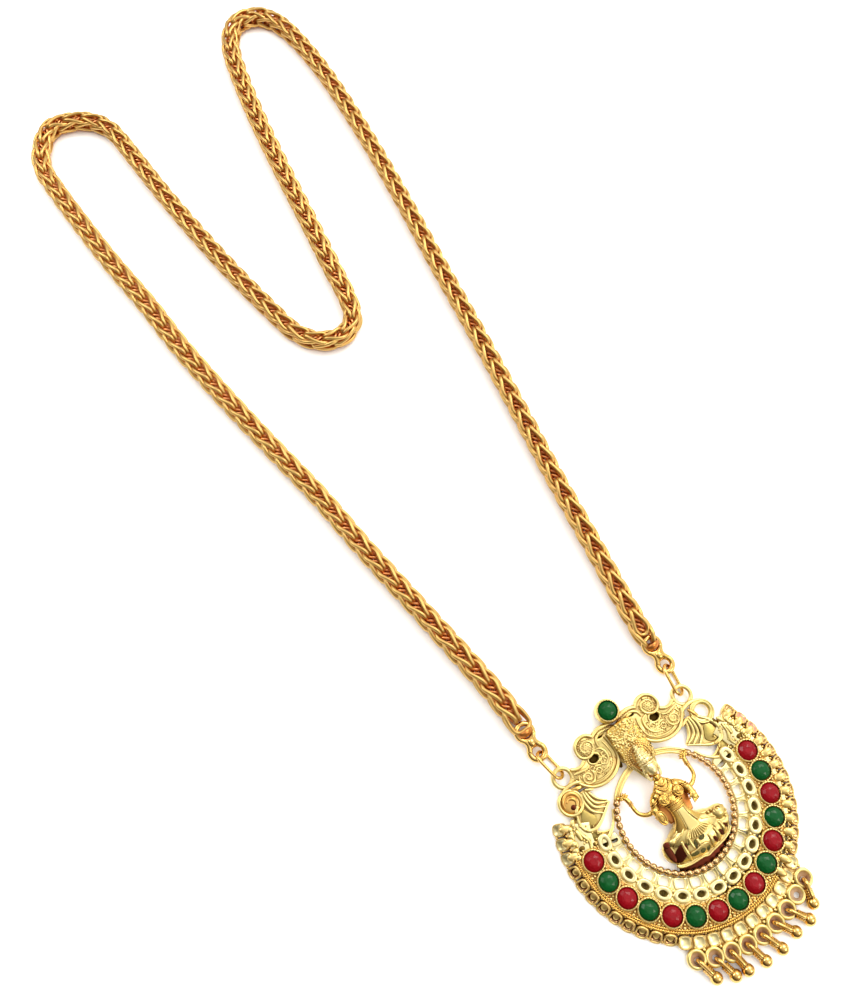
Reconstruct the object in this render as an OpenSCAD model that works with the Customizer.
// Mangalsutra: a wheat chain with a crescent pendant, laid flat on a surface.
// Millimetres, +Z up. The pendant's axis runs along Y with its drops towards -Y.
// The origin is on the surface, at the middle of the whole piece.

/* [Pendant] */
// Radius of the circle on which the fifteen stones sit
stone_ring_r = 19.9; // [19.6:0.1:20.2]
// Thickness of the cast crescent
plate_t = 1.5; // [1.3:0.1:1.7]
// Radius of the hoop that frames the figure, to the middle of its wire
hoop_r = 12; // [11.9:0.1:12.1]
// Radius of the wire of the hoop
hoop_wire_r = 0.42; // [0.38:0.02:0.46]
// Radius of one bead of the hoop
bead_r = 0.62; // [0.56:0.02:0.66]
// Height of the figure above the surface
figure_h = 6.6; // [6:0.1:7]

/* [Stones] */
// Radius of one stone at its girdle
stone_r = 2; // [1.9:0.05:2.05]
// Height of one stone from its flat back to its table
stone_h = 1.5; // [1.3:0.1:1.7]
// Height of the top stone's seat above the surface
top_seat_z = 2.9; // [2.6:0.1:3.2]

/* [Drops] */
// Radius of the circle on which the nine drop rings sit
drop_ring_r = 27.6; // [27.5:0.05:27.7]
// Radius of the hole of one drop ring
drop_hole_r = 1.15; // [1.1:0.05:1.2]
// Radius of one ball
ball_r = 1.3; // [1.2:0.05:1.35]
// Length of the wire loop of one drop, between the middles of its round ends
drop_loop_l = 3.85; // [3.8:0.05:3.9]

/* [Chain] */
// Diameter of the chain
chain_d = 4.6; // [4.4:0.1:4.8]
// Radius of the wire of the links at the chain's ends
link_wire_r = 0.38; // [0.34:0.02:0.42]

/* [Hidden] */
$fn = 32;

// Middle of the pendant's circles, seen from the origin
pendant_at = [1, -100, 0];
// Play between pieces that touch
gap = 0.1;
// Overlap where shapes of one solid run into each other
bite = 0.2;

// Angle between neighbouring stones
stone_step = 13.4;
// Stones in the crescent
stone_count = 15;
// Height of a stone's flat back above the surface
seat_z = plate_t + 0.1;
// Outer radius and top of a stone's cup
cup_r = 2.45;
cup_z = seat_z + 0.7;

// Height of the hoop's wire above the surface, and the beads along it
hoop_z = 1.65;
bead_count = 38;
// Half of the angle that the beads cover
bead_half = 133;

// Small collets inside the row of stones
collet_ring_r = 16.1;
collet_r = 1.3;
collet_hole_r = 0.52;
collet_z = 2.2;
collet_floor_z = 0.35;
collet_count = 16;

// Pierced gallery between the collets and the hoop
gallery_in_r = 12.75;
gallery_out_r = 14.6;
rib_w = 0.9;
// Feet of the ribs, which reach under the hoop and carry it
foot_in_r = 11.7;
foot_t = 0.9;

// Pinholes between the cups and the gallery
pinhole_ring_r = 17;
pinhole_r = 0.28;

// Half of the angle that the crescent covers, and its outer radius below the lobes
crescent_half = 116;
crescent_out_r = 23.7;
// Lobes along the outer edge
lobe_ring_r = 24.1;
lobe_r = 1.5;
lobe_step = stone_step / 2;
lobe_count = 35;
lobe_z = 0.45;
// Rope lines between the stones and the lobes
rope_ring_r = 22.75;
rope_r = 0.33;

// Drop rings: outer radius, thickness and height above the surface
drop_out_r = 2;
drop_t = 0.9;
drop_z = 0.9;
drop_step = 7.35;
drop_count = 9;
// Strip between the lobes and the drop rings
strip_in_r = 24;
strip_out_r = 26.3;
// The rings that carry a drop, counted from the pendant's left: the eighth hangs empty
hung_rings = [1, 2, 3, 4, 5, 6, 7, 9];
// Lean of each drop from the pendant's axis, in degrees
drop_lean = [14, 16, 9, 15, 23, 34, 34, -17];
// Distance from the middle of each drop's ring to the middle of its ball
drop_reach = [4.8, 5, 4.3, 4.4, 4.4, 4.2, 4.7, 4.8];
drop_wire_r = 0.3;
// Depth of a drop's loop inside its ball
loop_in_ball = 0.6;

// Lug rings that carry the jump links
lug_at = [15.6, 17.7];
lug_out_r = 2.45;
lug_hole_r = 1.5;
lug_z = 1.1;
lug_t = 0.7;
// Volutes between lugs and crescent
volute_at = [17.1, 12.8];
volute_out_r = 2.7;
volute_hole_r = 1.45;

// Crest: outline heights and the places of its two round forms
crest_z = 0.4;
crest_t = 1.7;
crest_top = crest_z + crest_t;
belly_at = [8.6, 16.9];
belly_r = 4.8;
curl_at = [8, 20.1];
curl_r = 2.35;
crest_hole_at = [7.9, 17.3];
crest_hole_r = 0.75;
notch_at = [4.1, 20.4];
notch_r = 0.42;
spiral_at = [11.2, 15];
spiral_r = 1.1;
relief_r = 0.35;
rim_w = 0.5;
rim_h = 0.4;

// Cup of the top stone
top_at = [0, 23.7];
top_cup_r = 2.5;

// Jump links: half length and half width of the wire's middle line, and their slope
jump_half_l = 3.4;
jump_half_w = 1.5;
jump_z = 1.5;
jump_tilt = 45;
jump_wire_r = 0.36;

// Connectors: eye beside the jump link, cup beside the chain, both as wire rings
eye_r = 1.55;
eye_wire_r = 0.42;
cup_ring_r = 1.85;
eye_left_at = [-16.9, 24.9, 1.5];
eye_right_at = [16.7, 24.9, 1.5];
cup_left_at = [-17, 29.6, 2.3];
cup_right_at = [16.6, 29.7, 2.3];

// Last links of the chain: how far they stand out of its end, their half sizes and their lift
end_link_out = 2.5;
end_link_half_l = 1.9;
end_link_half_w = 1.05;
end_link_lift = 0.15;

// Sides of the chain's tube, and the length of tube between two rings
chain_sides = 10;
ring_every = 9;
// Route of the chain's middle line, seen from the origin, from its left end to its right end
chain_route = [
    [-16, -67], [-17.1, -56.5], [-20.3, -35.5], [-23.1, -17.5], [-25.2, -1.5],
    [-28.3, 15.5], [-31.2, 32.5], [-33.6, 49.5], [-34.9, 64.5], [-36.9, 80.5],
    [-38.1, 94.5], [-38.9, 106.5], [-38.9, 115.5], [-36, 122], [-31.7, 126],
    [-26.4, 125.4], [-21.6, 122.4], [-18.3, 116.7], [-17.3, 106.5], [-16.3, 92.5],
    [-14.7, 76.5], [-12.4, 59.5], [-10.1, 46.5], [-8.2, 38], [-4.4, 32.6],
    [1.1, 30.8], [5.6, 33.5], [7.6, 39.9], [8.8, 48.5], [10.9, 63.5],
    [13.2, 80.5], [15.8, 97.5], [18.7, 112.5], [22, 124.5], [26.8, 130.7],
    [33.2, 130.3], [37.2, 124.6], [38.8, 114.5], [38.9, 99.5], [37.3, 78.5],
    [34.8, 57.5], [31.8, 36.5], [28.9, 14.5], [25.9, -6.5], [22.7, -27.5],
    [20.2, -46.5], [18.4, -59.5], [17.6, -67]];

// Point on a circle round the pendant's middle, its angle counted from the lowest point
function on_ring(r, a) = [r * sin(a), -r * cos(a)];
// Points of an arc round a centre
function arc(c, r, from, to, n) =
    [for (i = [0:n]) let (a = from + (to - from) * i / n) c + r * [cos(a), sin(a)]];
// Points of an arc on a circle round the pendant's middle
function ring_arc(r, from, to, n) =
    [for (i = [0:n]) on_ring(r, from + (to - from) * i / n)];
// Pointed leaf along X, widest at its middle
function leaf_points(length, width, n = 10) = concat(
    [for (i = [0:n]) [length * i / n, width / 2 * sin(180 * i / n)]],
    [for (i = [1:n - 1]) [length * (1 - i / n), -width / 2 * sin(180 * i / n)]]);
// Point of a smooth curve through b and c
function smooth(a, b, c, d, t) = 0.5 * (2 * b + (c - a) * t
    + (2 * a - 5 * b + 4 * c - d) * t * t + (3 * b - a - 3 * c + d) * t * t * t);
// Smooth curve through the points of a route, with a point about every given length
function curve(route, every) = let (n = len(route)) [
    for (i = [0:n - 2])
        let (a = route[max(i - 1, 0)], b = route[i], c = route[i + 1], d = route[min(i + 2, n - 1)])
        let (steps = max(1, round(norm(c - b) / every)))
        for (j = [0:steps - 1]) smooth(a, b, c, d, j / steps),
    route[n - 1]];
// Direction of a curve at one of its points
function along(p, i, closed) = let (n = len(p))
    let (a = closed ? p[(i + n - 1) % n] : p[max(i - 1, 0)])
    let (b = closed ? p[(i + 1) % n] : p[min(i + 1, n - 1)])
    (b - a) / norm(b - a);
// Closed oval of wire in the XY plane, long along X
function oval(half_l, half_w, n = 6) = let (far = half_l - half_w) [
    for (p = concat(arc([far, 0], half_w, -90, 90, n), arc([-far, 0], half_w, 90, 270, n)))
        [p[0], p[1], 0]];

// Round wire along points of a plane path: level is the direction square to that plane
module wire(path, r, sides = 6, closed = false, level = [0, 0, 1]) {
    n = len(path);
    radii = is_list(r) ? r : [for (i = [0:n - 1]) r];
    points = [for (i = [0:n - 1])
        let (t = along(path, i, closed), s = cross(t, level))
        for (k = [0:sides - 1])
            let (a = 360 * (k + 0.5) / sides)
            path[i] + radii[i] * (cos(a) * s + sin(a) * level)];
    last = closed ? n - 1 : n - 2;
    skin = [for (i = [0:last]) for (k = [0:sides - 1])
        let (j = (i + 1) % n, m = (k + 1) % sides)
        [i * sides + k, i * sides + m, j * sides + m, j * sides + k]];
    ends = closed ? [] : [
        [for (k = [sides - 1:-1:0]) k],
        [for (k = [0:sides - 1]) (n - 1) * sides + k]];
    polyhedron(points, concat(skin, ends), convexity = 6);
}

// Moves a copy to the other side of the pendant's axis as well
module both_sides() {
    children();
    mirror([1, 0, 0]) children();
}

// Crescent outline without its lobes
module crescent_outline() {
    polygon(concat(
        ring_arc(crescent_out_r, -crescent_half - 4, crescent_half + 4, 72),
        [[18.2, 10.5], [18.4, 7.2], [17.2, 4.6], [15.2, 3.4]],
        ring_arc(gallery_in_r, 103, -103, 60),
        [[-15.2, 3.4], [-17.2, 4.6], [-18.4, 7.2], [-18.2, 10.5]]));
}

// Openings of the gallery, one beside each small collet
module gallery_windows() {
    for (i = [0:collet_count - 1]) {
        a = (i - (collet_count - 1) / 2) * stone_step;
        half = stone_step / 2 - asin(rib_w / 2 / gallery_in_r);
        polygon(concat(
            ring_arc(gallery_in_r - 1, a - half, a + half, 4),
            [on_ring(gallery_out_r - 0.5, a + half)],
            ring_arc(gallery_out_r, a + half * 0.6, a - half * 0.6, 3),
            [on_ring(gallery_out_r - 0.5, a - half)]));
    }
}

// Flat crescent with its ribs, cups, collets and lobes
module crescent_body() {
    difference() {
        union() {
            linear_extrude(plate_t) difference() {
                crescent_outline();
                gallery_windows();
                for (i = [0:stone_count - 1])
                    translate(on_ring(pinhole_ring_r, (i - 7) * stone_step)) circle(pinhole_r, $fn = 16);
            }
            for (i = [0:stone_count - 1])
                rotate((i - 7) * stone_step) translate([-rib_w / 2, -gallery_in_r - bite, 0])
                    cube([rib_w, gallery_in_r + bite - foot_in_r, foot_t]);
            for (i = [0:stone_count - 1])
                translate(concat(on_ring(stone_ring_r, (i - 7) * stone_step), bite))
                    cylinder(h = cup_z - bite, r = cup_r);
            for (i = [0:collet_count - 1])
                translate(concat(on_ring(collet_ring_r, (i - 7.5) * stone_step), bite))
                    cylinder(h = collet_z - bite, r = collet_r);
            for (i = [0:lobe_count - 1])
                translate(concat(on_ring(lobe_ring_r, (i - (lobe_count - 1) / 2) * lobe_step), lobe_z))
                    sphere(lobe_r);
            translate([0, 0, plate_t]) rotate(-90 - crescent_half) rotate_extrude(angle = 2 * crescent_half)
                translate([rope_ring_r, 0]) circle(rope_r, $fn = 16);
        }
        translate([-30, -30, -5]) cube([60, 60, 5]);
        for (i = [0:stone_count - 1])
            translate(concat(on_ring(stone_ring_r, (i - 7) * stone_step), seat_z - 0.05))
                cylinder(h = 3, r = stone_r + gap);
        for (i = [0:collet_count - 1])
            translate(concat(on_ring(collet_ring_r, (i - 7.5) * stone_step), collet_floor_z))
                cylinder(h = 5, r = collet_hole_r);
    }
}

// Strip of nine flat rings along the lower edge
module drop_rings() {
    half = (drop_count - 1) / 2 * drop_step;
    translate([0, 0, drop_z]) linear_extrude(drop_t) difference() {
        union() {
            polygon(concat(
                ring_arc(strip_in_r, -half - 2, half + 2, 16),
                ring_arc(strip_out_r, half + 2, -half - 2, 16)));
            for (i = [0:drop_count - 1])
                translate(on_ring(drop_ring_r, (i - 4) * drop_step)) circle(drop_out_r);
        }
        for (i = [0:drop_count - 1])
            translate(on_ring(drop_ring_r, (i - 4) * drop_step)) circle(drop_hole_r);
    }
}

// Outline of one half of the crest, from the axis to the lug
module crest_shape() {
    polygon(concat(
        [[0, 20.6], [2.4, 21.6], [4.5, 21.9], [5.8, 21.4]],
        arc(curl_at, curl_r, 140, -40, 14),
        [[10.6, 17.7], [12, 17.8], [13.4, 18.3], [14.6, 15.7], [13.8, 13.8]],
        arc(belly_at, belly_r, -45, -160, 12),
        [[3.4, 13.6], [3, 11.2], [0, 10.6]]));
}

// The same outline, clear of the hoop
module crest_outline() {
    difference() {
        crest_shape();
        circle(gallery_in_r, $fn = 96);
    }
}

// Raised ring of wire on the crest
module relief_ring(at, r) {
    translate([at[0], at[1], crest_top]) rotate_extrude() translate([r, 0]) circle(relief_r, $fn = 16);
}

// Crest half with its raised rim, curl, spiral and beads
module crest_half() {
    difference() {
        union() {
            translate([0, 0, crest_z]) linear_extrude(crest_t) crest_outline();
            translate([0, 0, crest_top - bite]) linear_extrude(rim_h + bite) difference() {
                crest_outline();
                offset(delta = -rim_w) crest_outline();
                translate([-1, 8]) square([3.4, 14]);
            }
            relief_ring(curl_at, curl_r / 2);
            relief_ring(spiral_at, spiral_r);
            translate([curl_at[0], curl_at[1], crest_top]) sphere(0.6);
            for (i = [0:3])
                translate([5.2 + 1.1 * i, 15.2 - 0.55 * i + 0.2 * i * i, crest_top]) sphere(0.45);
        }
        translate([crest_hole_at[0], crest_hole_at[1], -1]) cylinder(h = 6, r = crest_hole_r);
        translate([notch_at[0], notch_at[1], -1]) cylinder(h = 6, r = notch_r);
    }
}

// Pointed leaf from p to q
module leaf(p, q, width, low, high) {
    way = q - p;
    translate([p[0], p[1], low]) rotate(atan2(way[1], way[0]))
        linear_extrude(high - low) polygon(leaf_points(norm(way), width));
}

// Wing below a lug: three fronds, a plain leaf, a curled leaf and the thin stem to the gallery
module wing() {
    leaf([12.6, 13.4], [10.4, 9.1], 2, 0.7, 1.7);
    leaf([13.4, 13.4], [11.9, 8.2], 2.3, 0.7, 2);
    leaf([14.4, 13.3], [13.5, 7.3], 2.6, 0.7, 2.3);
    leaf([15.4, 12.8], [17, 5.4], 3.4, 0.7, 1.9);
    leaf([19.4, 7.6], [15, 4.4], 2, 0.7, 2.1);
    translate([0, 0, 0.8]) linear_extrude(0.9)
        polygon(concat(arc([14.9, 7], 3.7, -148, -47, 10), arc([14.9, 7], 3.1, -47, -148, 10)));
}

// Lug ring that takes the jump link
module lug() {
    translate([lug_at[0], lug_at[1], lug_z]) difference() {
        cylinder(h = lug_t, r = lug_out_r);
        translate([0, 0, -1]) cylinder(h = 4, r = lug_hole_r);
    }
}

// Open ring between lug and crescent, on the right
module open_volute() {
    translate([volute_at[0], volute_at[1], 0.5]) difference() {
        cylinder(h = 1.5, r = volute_out_r);
        translate([0, 0, -1]) cylinder(h = 4, r = volute_hole_r);
    }
}

// Closed scroll between lug and crescent, on the left
module closed_volute() {
    translate([-volute_at[0], volute_at[1], 0.5]) {
        difference() {
            cylinder(h = 1.5, r = volute_out_r);
            translate([0.2, -0.9, -1]) cylinder(h = 4, r = 0.55);
        }
        translate([0, 0, 1.5]) rotate_extrude() translate([2.1, 0]) circle(0.4, $fn = 16);
        translate([0.3, 0.9, 1.5]) sphere(0.6);
    }
}

module crescent_plate() {
    color("gold") translate(pendant_at) {
        crescent_body();
        drop_rings();
        both_sides() crest_half();
        both_sides() wing();
        both_sides() lug();
        open_volute();
        closed_volute();
        translate([top_at[0], top_at[1], crest_z]) difference() {
            cylinder(h = top_seat_z + 0.6 - crest_z, r = top_cup_r);
            translate([0, 0, top_seat_z - 0.05 - crest_z]) cylinder(h = 3, r = stone_r + gap);
        }
        translate([-1.1, 19.5, crest_z]) cube([2.2, 3, 1.9]);
    }
}

// Rounded bar between two places, thick as a limb
module limb(p, q, r1, r2) {
    hull() {
        translate(p) sphere(r1, $fn = 12);
        translate(q) sphere(r2, $fn = 12);
    }
}

// Egg shape with three half sizes
module egg(at, size, fn = 16) {
    translate(at) scale(size) sphere(1, $fn = fn);
}

// Beaded wire hoop, plain along its top
module beaded_hoop() {
    profile = [hoop_wire_r, bead_r * 0.93, bead_r, bead_r * 0.93];
    n = bead_count * len(profile);
    lower = [for (i = [0:n - 1]) bead_half * (2 * i / n - 1)];
    upper = [for (i = [0:11]) bead_half + (360 - 2 * bead_half) * i / 12];
    angles = concat(lower, upper);
    path = [for (a = angles) concat(on_ring(hoop_r, a), hoop_z)];
    radii = [for (i = [0:len(angles) - 1]) i < n ? profile[i % len(profile)] : hoop_wire_r];
    wire(path, radii, closed = true);
}

// One raised arm with its bud, which meets the hoop
module raised_arm() {
    limb([3.6, 3.6, 3.4], [5.6, 2.5, 3], 0.75, 0.6);
    limb([5.6, 2.5, 3], [7.3, 4.3, 2.8], 0.6, 0.5);
    limb([7.3, 4.3, 2.8], [7.3, 7, 2.5], 0.5, 0.5);
    limb([7.3, 7, 2.5], [8.6, 8.4, 1.7], 0.75, 0.55);
}

// One lowered arm with its open hand
module lowered_arm() {
    limb([3.3, 4.3, 3.7], [4.7, 1.4, 3.9], 1.15, 0.95);
    limb([4.7, 1.4, 3.9], [4, -0.9, 4.6], 0.9, 0.75);
}

// Seated figure on her lotus, flat at the back
module goddess() {
    lift = hoop_z - hoop_wire_r;
    intersection() {
        union() {
            // Lotus seat with its petals
            egg([0, -7.4, 2.2], [8, 2.9, 3.1], 24);
            for (i = [-3:3])
                egg([2.25 * i, -7.9 + 0.1 * i * i, 4.2 - 0.16 * i * i], [1.15, 2.1, 1.3], 12);
            // Crossed legs under the skirt
            egg([0, -4.6, 3.3], [5.4, 2.1, 2.4], 24);
            both_sides() limb([5.9, -4.6, 3.4], [1.5, -5, 4.3], 1.75, 1.5);
            // Body from waist to shoulders
            egg([0, -2.6, 3.4], [3.3, 1.6, 2], 20);
            limb([0, -2.2, 3.6], [0, 2.4, 3.7], 1.5, 2);
            both_sides() limb([0, 3.6, 3.6], [3.2, 4.4, 3.4], 1.7, 1.2);
            both_sides() egg([1.5, 2.5, 4.7], [1.25, 1.25, 1.1], 12);
            limb([0, 5, 3.8], [0, 7.4, 4.2], 0.95, 0.95);
            // Head, hair and crown
            egg([0, 8.9, 4.5], [1.6, 1.95, 1.7], 20);
            egg([0, 10.2, 3.4], [3, 1.6, 1.9], 20);
            egg([0, 13.2, 3], [3.5, 3.5, 1.6], 24);
            limb([0, 11, 4], [0, 14.8, 3.4], 1.7, 1.1);
            limb([0, 14.8, 3.4], [0, 18.4, 2.9], 1.1, 0.5);
            both_sides() lowered_arm();
            both_sides() raised_arm();
            // Ledge between the lotus and the hoop
            translate([0, 0, lift]) linear_extrude(0.9)
                polygon(concat(ring_arc(hoop_r, -45, 45, 24), [[5.5, -6.5], [-5.5, -6.5]]));
        }
        translate([-14, -14, lift]) cube([28, 40, figure_h - lift]);
        union() {
            cylinder(h = 10, r = hoop_r, $fn = 64);
            translate([-14, 0, crest_top + rim_h + gap]) cube([28, 30, 10]);
        }
    }
}

module goddess_medallion() {
    color("goldenrod") translate(pendant_at) {
        beaded_hoop();
        goddess();
    }
}

// Round stone with a flat back, a girdle, 24 crown facets and a table
module cut_stone() {
    girdle = 0.45;
    table_r = stone_r * 0.55;
    points = concat(
        [for (k = [0:15]) [stone_r * cos(22.5 * k), stone_r * sin(22.5 * k), 0]],
        [for (k = [0:15]) [stone_r * cos(22.5 * k), stone_r * sin(22.5 * k), girdle]],
        [for (k = [0:7]) [table_r * cos(45 * k), table_r * sin(45 * k), stone_h]]);
    faces = concat(
        [[for (k = [0:15]) k]],
        [for (k = [0:15]) let (m = (k + 1) % 16) [k, k + 16, m + 16, m]],
        [for (k = [0:7]) [16 + 2 * k, 32 + k, 16 + 2 * k + 1]],
        [for (k = [0:7]) [16 + (2 * k + 15) % 16, 32 + k, 16 + 2 * k]],
        [for (k = [0:7]) [16 + 2 * k + 1, 32 + k, 32 + (k + 1) % 8]],
        [[for (k = [7:-1:0]) 32 + k]]);
    polyhedron(points, faces);
}

// Stone of the crescent, counted from the pendant's left
module stone(i) {
    color(i % 2 == 1 ? "crimson" : "seagreen") translate(pendant_at)
        translate(concat(on_ring(stone_ring_r, (i - 8) * stone_step), seat_z))
            rotate((i - 8) * stone_step) cut_stone();
}

module top_stone() {
    color("seagreen") translate(pendant_at)
        translate([top_at[0], top_at[1], top_seat_z]) cut_stone();
}

// Ball on a closed wire loop that runs through a drop ring: drop i, counted from the left
module drop(i) {
    half_h = drop_t / 2 + gap + drop_wire_r + 0.05;
    reach = drop_reach[i - 1];
    path = [for (p = oval(drop_loop_l / 2, half_h)) [p[0], 0, p[1]]];
    color("goldenrod") translate(pendant_at)
        translate(on_ring(drop_ring_r, (hung_rings[i - 1] - 5) * drop_step))
            rotate(drop_lean[i - 1] - 90) {
                translate([reach - ball_r + loop_in_ball - drop_loop_l / 2, 0, drop_z + drop_t / 2])
                    wire(path, drop_wire_r, closed = true, level = [0, 1, 0]);
                translate([reach, 0, ball_r]) sphere(ball_r);
            }
}

// Last link at one end of the chain, upright, half inside the chain's end
module end_link(at, next) {
    way = at - next;
    path = [for (p = oval(end_link_half_l, end_link_half_w)) [p[0], 0, p[1]]];
    translate([at[0], at[1], chain_d / 2 + end_link_lift]) rotate(atan2(way[1], way[0]))
        translate([end_link_out - end_link_half_l, 0, 0])
            wire(path, link_wire_r, closed = true, level = [0, 1, 0]);
}

module chain() {
    n = len(chain_route);
    path = [for (p = curve(chain_route, ring_every)) [p[0], p[1], chain_d / 2]];
    color("darkgoldenrod") {
        wire(path, chain_d / 2, sides = chain_sides);
        end_link(chain_route[0], chain_route[1]);
        end_link(chain_route[n - 1], chain_route[n - 2]);
    }
}

// Double loop: the eye lies flat, the cup ring faces the chain
module connector(eye, cup) {
    neck = (eye + cup) / 2;
    turn = atan2(cup[1] - eye[1], cup[0] - eye[0]);
    rise = atan2(cup[2] - eye[2], norm([cup[0] - eye[0], cup[1] - eye[1]]));
    color("goldenrod") translate(pendant_at) {
        translate(eye) rotate_extrude() translate([eye_r, 0]) circle(eye_wire_r, $fn = 16);
        translate(cup) rotate(turn) rotate([0, -rise, 0])
            rotate_extrude() translate([cup_ring_r, 0]) circle(eye_wire_r, $fn = 16);
        translate(neck - [0, 0.2, 0]) sphere(0.95);
    }
}
module end_connector_left() { connector(eye_left_at, cup_left_at); }
module end_connector_right() { connector(eye_right_at, cup_right_at); }

// Oval link from a lug's hole to a connector's eye
module jump_link(lug_x, eye) {
    from = [lug_x, lug_at[1], 0];
    way = [eye[0], eye[1], 0] - from;
    color("goldenrod") translate(pendant_at)
        translate((from + [eye[0], eye[1], 0]) / 2 + [0, 0, jump_z])
            rotate(atan2(way[1], way[0])) rotate([jump_tilt, 0, 0])
                wire(oval(jump_half_l, jump_half_w), jump_wire_r, closed = true);
}
module jump_link_left() { jump_link(-lug_at[0], eye_left_at); }
module jump_link_right() { jump_link(lug_at[0], eye_right_at); }

crescent_plate();
goddess_medallion();
stone(1);  // stone_1
stone(2);  // stone_2
stone(3);  // stone_3
stone(4);  // stone_4
stone(5);  // stone_5
stone(6);  // stone_6
stone(7);  // stone_7
stone(8);  // stone_8
stone(9);  // stone_9
stone(10);  // stone_10
stone(11);  // stone_11
stone(12);  // stone_12
stone(13);  // stone_13
stone(14);  // stone_14
stone(15);  // stone_15
top_stone();
drop(1);  // drop_1
drop(2);  // drop_2
drop(3);  // drop_3
drop(4);  // drop_4
drop(5);  // drop_5
drop(6);  // drop_6
drop(7);  // drop_7
drop(8);  // drop_8
chain();
end_connector_left();
end_connector_right();
jump_link_left();
jump_link_right();
